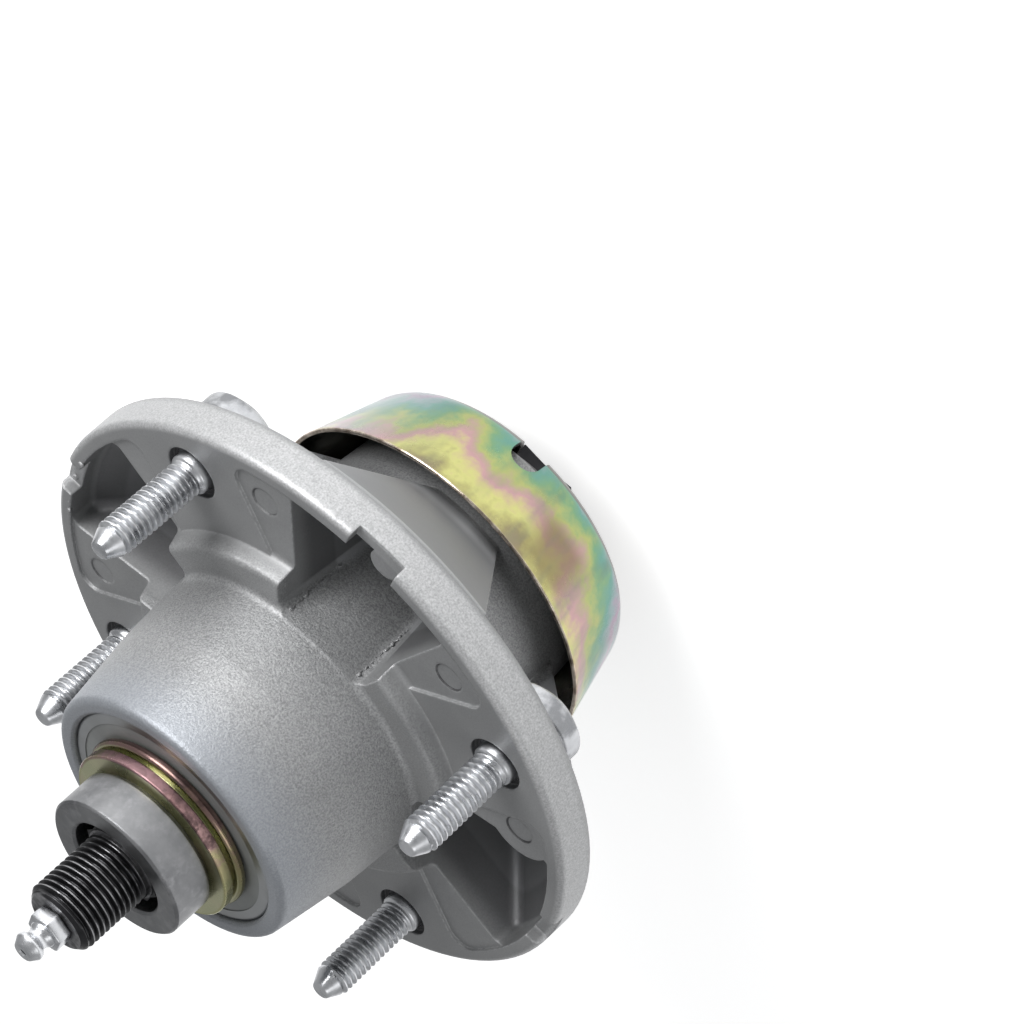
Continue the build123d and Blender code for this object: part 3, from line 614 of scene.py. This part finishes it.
def notched_cup(material):
    """Pressed cup with round bends, a rolled rim and two drain notches through its corner."""
    inner_floor = CUP_FLOOR + CUP_SHEET
    hole = [(CUP_HOLE_RADIUS, inner_floor), (CUP_HOLE_RADIUS, CUP_FLOOR), (CUP_FLAT_RADIUS, CUP_FLOOR)]
    outer_bend = arc(CUP_BEND_CENTRE, CUP_BEND_RADIUS, -90, CUP_WALL_ANGLE, 14)
    rim = arc((39.55, -37.85), 0.55, CUP_WALL_ANGLE, 180, 8)
    inner_bend = arc(CUP_BEND_CENTRE, CUP_BEND_RADIUS - CUP_SHEET, CUP_WALL_ANGLE, -90, 12)
    outer_wall = hole + outer_bend + [(37.7, -47.33), (39.95, -38.3)]
    inner_wall = [(38.7, -38.3), (36.5, -47.2)] + inner_bend
    inner_wall += [(CUP_FLAT_RADIUS, inner_floor), (CUP_HOLE_RADIUS, inner_floor)]
    cup = placed(turned(outer_wall + rim + inner_wall, 160), "cup_blank")
    slot = bmesh.new()
    bmesh.ops.create_cube(slot, size=1)
    bmesh.ops.scale(slot, verts=slot.verts, vec=Vector(CUP_NOTCH_SIZE) * MM)
    lengthwise = [edge for edge in slot.edges if abs(edge.verts[0].co.y - edge.verts[1].co.y) > MM]
    bmesh.ops.bevel(slot, geom=lengthwise, offset=CUP_NOTCH_CORNER * MM, affect="EDGES", segments=8,
                    profile=0.5, material=-1)
    middle = CUP_NOTCH_START + CUP_NOTCH_SIZE[1] / 2
    bmesh.ops.translate(slot, verts=slot.verts, vec=(0, middle * MM, CUP_FLOOR * MM))
    second = slot.copy()
    bmesh.ops.rotate(second, verts=second.verts, cent=(0, 0, 0), matrix=Matrix.Rotation(pi, 3, "Z"))
    join(slot, second)
    cutter = placed(slot, "cup_slots")
    cut = cup.modifiers.new("notches", "BOOLEAN")
    cut.object = cutter
    cut.operation = "DIFFERENCE"
    cut.solver = "EXACT"
    notched = bmesh.new()
    notched.from_object(cup, bpy.context.evaluated_depsgraph_get())
    for blank in (cup, cutter):
        bpy.data.objects.remove(blank)
    bmesh.ops.remove_doubles(notched, verts=notched.verts, dist=0.002 * MM)
    return finished(notched, "notched_cup", "rotor", "dust_cup", material, sharp=35)


def hexed_fitting(material):
    """Grease fitting: hex with rounded corners, neck, ball head and small inlet."""
    shape = bmesh.new()
    corner_radius = FITTING_HEX_WIDTH / 2 / cos(pi / 6)
    bmesh.ops.create_circle(shape, cap_ends=True, segments=6, radius=corner_radius * MM)
    bmesh.ops.translate(shape, verts=shape.verts, vec=(0, 0, SHAFT_TOP * MM))
    raised = bmesh.ops.extrude_face_region(shape, geom=shape.faces[:])
    top = [part for part in raised["geom"] if isinstance(part, bmesh.types.BMVert)]
    bmesh.ops.translate(shape, verts=top, vec=(0, 0, FITTING_HEX_HEIGHT * MM))
    bmesh.ops.bevel(shape, geom=shape.edges[:], offset=0.5 * MM, affect="EDGES", segments=3, profile=0.5,
                    material=-1)
    bmesh.ops.recalc_face_normals(shape, faces=shape.faces)
    outline = [(0.8, 62.9), (3.1, 62.9), (3.1, 71.9), (3.1, 72.2), (2.7, 72.9), (2.35, 73.3), (2.3, 74.2)]
    outline += [(2.5, 74.6), (3.0, 75.0)] + arc((2.45, 75.8), 0.8, -35, 50, 5)
    outline += arc((1.7, 77.0), 0.8, 45, 90, 3)
    outline += [(1.1, 77.75), (0.8, 77.4), (0.8, 62.9)]
    join(shape, turned(outline, 48))
    crest = shape.verts.layers.float.new("crest")
    for vert in shape.verts:
        vert[crest] = 1.0
    return finished(shape, "hexed_fitting", "rotor", "grease_fitting", material)


# Floor, light and camera
def connect(tree, *pairs):
    """Links each output to the input beside it."""
    for start, end in pairs:
        tree.links.new(start, end)


def lay_floor():
    """A pale matt disc that glows for the camera and for reflections."""
    shape = bmesh.new()
    bmesh.ops.create_circle(shape, cap_ends=True, segments=96, radius=FLOOR_RADIUS * MM)
    bmesh.ops.translate(shape, verts=shape.verts, vec=(0, 0, FLOOR_HEIGHT * MM))
    floor = placed(shape, "pale_floor")
    material = bpy.data.materials.new("pale_floor")
    material.use_nodes = True
    tree = material.node_tree
    tree.nodes.clear()
    matt = tree.nodes.new("ShaderNodeBsdfDiffuse")
    matt.inputs["Color"].default_value = FLOOR_GREY
    glow = tree.nodes.new("ShaderNodeEmission")
    ray = tree.nodes.new("ShaderNodeLightPath")
    seen = tree.nodes.new("ShaderNodeMath")
    seen.operation = "MAXIMUM"
    share = tree.nodes.new("ShaderNodeMath")
    share.operation = "MULTIPLY"
    share.inputs[1].default_value = FLOOR_GLOW
    both = tree.nodes.new("ShaderNodeAddShader")
    shown = tree.nodes.new("ShaderNodeOutputMaterial")
    connect(
        tree,
        (ray.outputs["Is Camera Ray"], seen.inputs[0]),
        (ray.outputs["Is Glossy Ray"], seen.inputs[1]),
        (seen.outputs[0], share.inputs[0]),
        (share.outputs[0], glow.inputs["Strength"]),
        (matt.outputs[0], both.inputs[0]),
        (glow.outputs[0], both.inputs[1]),
        (both.outputs[0], shown.inputs[0]),
    )
    floor.data.materials.append(material)


def light_room():
    """A plain room that is white for the camera, and softer for light and reflections."""
    world = bpy.data.worlds.new("soft_room")
    bpy.context.scene.world = world
    world.use_nodes = True
    tree = world.node_tree
    tree.nodes.clear()
    soft = tree.nodes.new("ShaderNodeBackground")
    soft.inputs["Color"].default_value = ROOM_COLOUR
    soft.inputs["Strength"].default_value = ROOM_STRENGTH
    white = tree.nodes.new("ShaderNodeBackground")
    white.inputs["Color"].default_value = (1, 1, 1, 1)
    ray = tree.nodes.new("ShaderNodeLightPath")
    mixed = tree.nodes.new("ShaderNodeMixShader")
    shown = tree.nodes.new("ShaderNodeOutputWorld")
    connect(
        tree,
        (ray.outputs["Is Camera Ray"], mixed.inputs[0]),
        (soft.outputs[0], mixed.inputs[1]),
        (white.outputs[0], mixed.inputs[2]),
        (mixed.outputs[0], shown.inputs[0]),
    )


def hang_light(name, azimuth, elevation, distance, size, power):
    """A square soft box that faces the spindle from an angle."""
    data = bpy.data.lights.new(name, "AREA")
    data.shape = "SQUARE"
    data.size = size
    data.energy = power
    lamp = bpy.data.objects.new(name, data)
    bpy.context.scene.collection.objects.link(lamp)
    flat = cos(radians(elevation))
    turn = Vector((flat * cos(radians(azimuth)), flat * sin(radians(azimuth)), sin(radians(elevation))))
    lamp.location = turn * distance
    lamp.rotation_euler = turn.to_track_quat("Z", "Y").to_euler()


def stand_camera():
    """Camera at the photograph's angle, rolled as the spindle lies in it."""
    data = bpy.data.cameras.new("photo_camera")
    data.lens = CAMERA_LENS
    data.clip_start = 0.01
    camera = bpy.data.objects.new("photo_camera", data)
    bpy.context.scene.collection.objects.link(camera)
    right = Vector(CAMERA_RIGHT)
    down = Vector(CAMERA_DOWN)
    forward = right.cross(down).normalized()
    down = forward.cross(right).normalized()
    right = right.normalized()
    turn = Matrix((right, -down, -forward)).transposed()
    camera.matrix_world = Matrix.Translation(Vector(CAMERA_PLACE)) @ turn.to_4x4()
    bpy.context.scene.camera = camera


# The spindle, its floor and its light
zinc = bright_zinc()
black = black_oxide()
steel = bearing_steel()
shield = bearing_shield()
aluminium = cast_aluminium()
dress("housing", aluminium)
casting_flash(aluminium)
rainbow = rainbow_zinc()
dress("dust_cup", rainbow)
notched_cup(rainbow)
dress("flat_washer", yellow_zinc("yellow_zinc_flat_washer", FLAT_WASHER_RADIUS, dulled=0.0))
dress("upper_shield_washer", yellow_zinc("yellow_zinc_shield_washer", SHIELD_WASHER_RADIUS, dulled=0.45))
dress("lower_shield_washer", yellow_zinc("yellow_zinc_lower_washer", SHIELD_WASHER_RADIUS, dulled=0.45))
dress("spacer_ring", dark_ring())
dress("bearing_spacer_tube", steel)
for end in ("upper", "lower"):
    for piece in ("outer_ring", "inner_ring", "balls", "cage"):
        dress(f"{end}_bearing_{piece}", steel)
    for piece in ("top_seal", "bottom_seal"):
        dress(f"{end}_bearing_{piece}", shield)
for number in range(1, 5):
    threaded_stud(number, zinc)
threaded_shaft(black)
hexed_fitting(zinc)

lay_floor()
light_room()
hang_light("key_box", azimuth=129, elevation=22, distance=0.9, size=0.5, power=8.0)
hang_light("side_box", azimuth=20, elevation=35, distance=1.1, size=0.5, power=1.2)
stand_camera()
bpy.context.scene.view_settings.view_transform = "Standard"
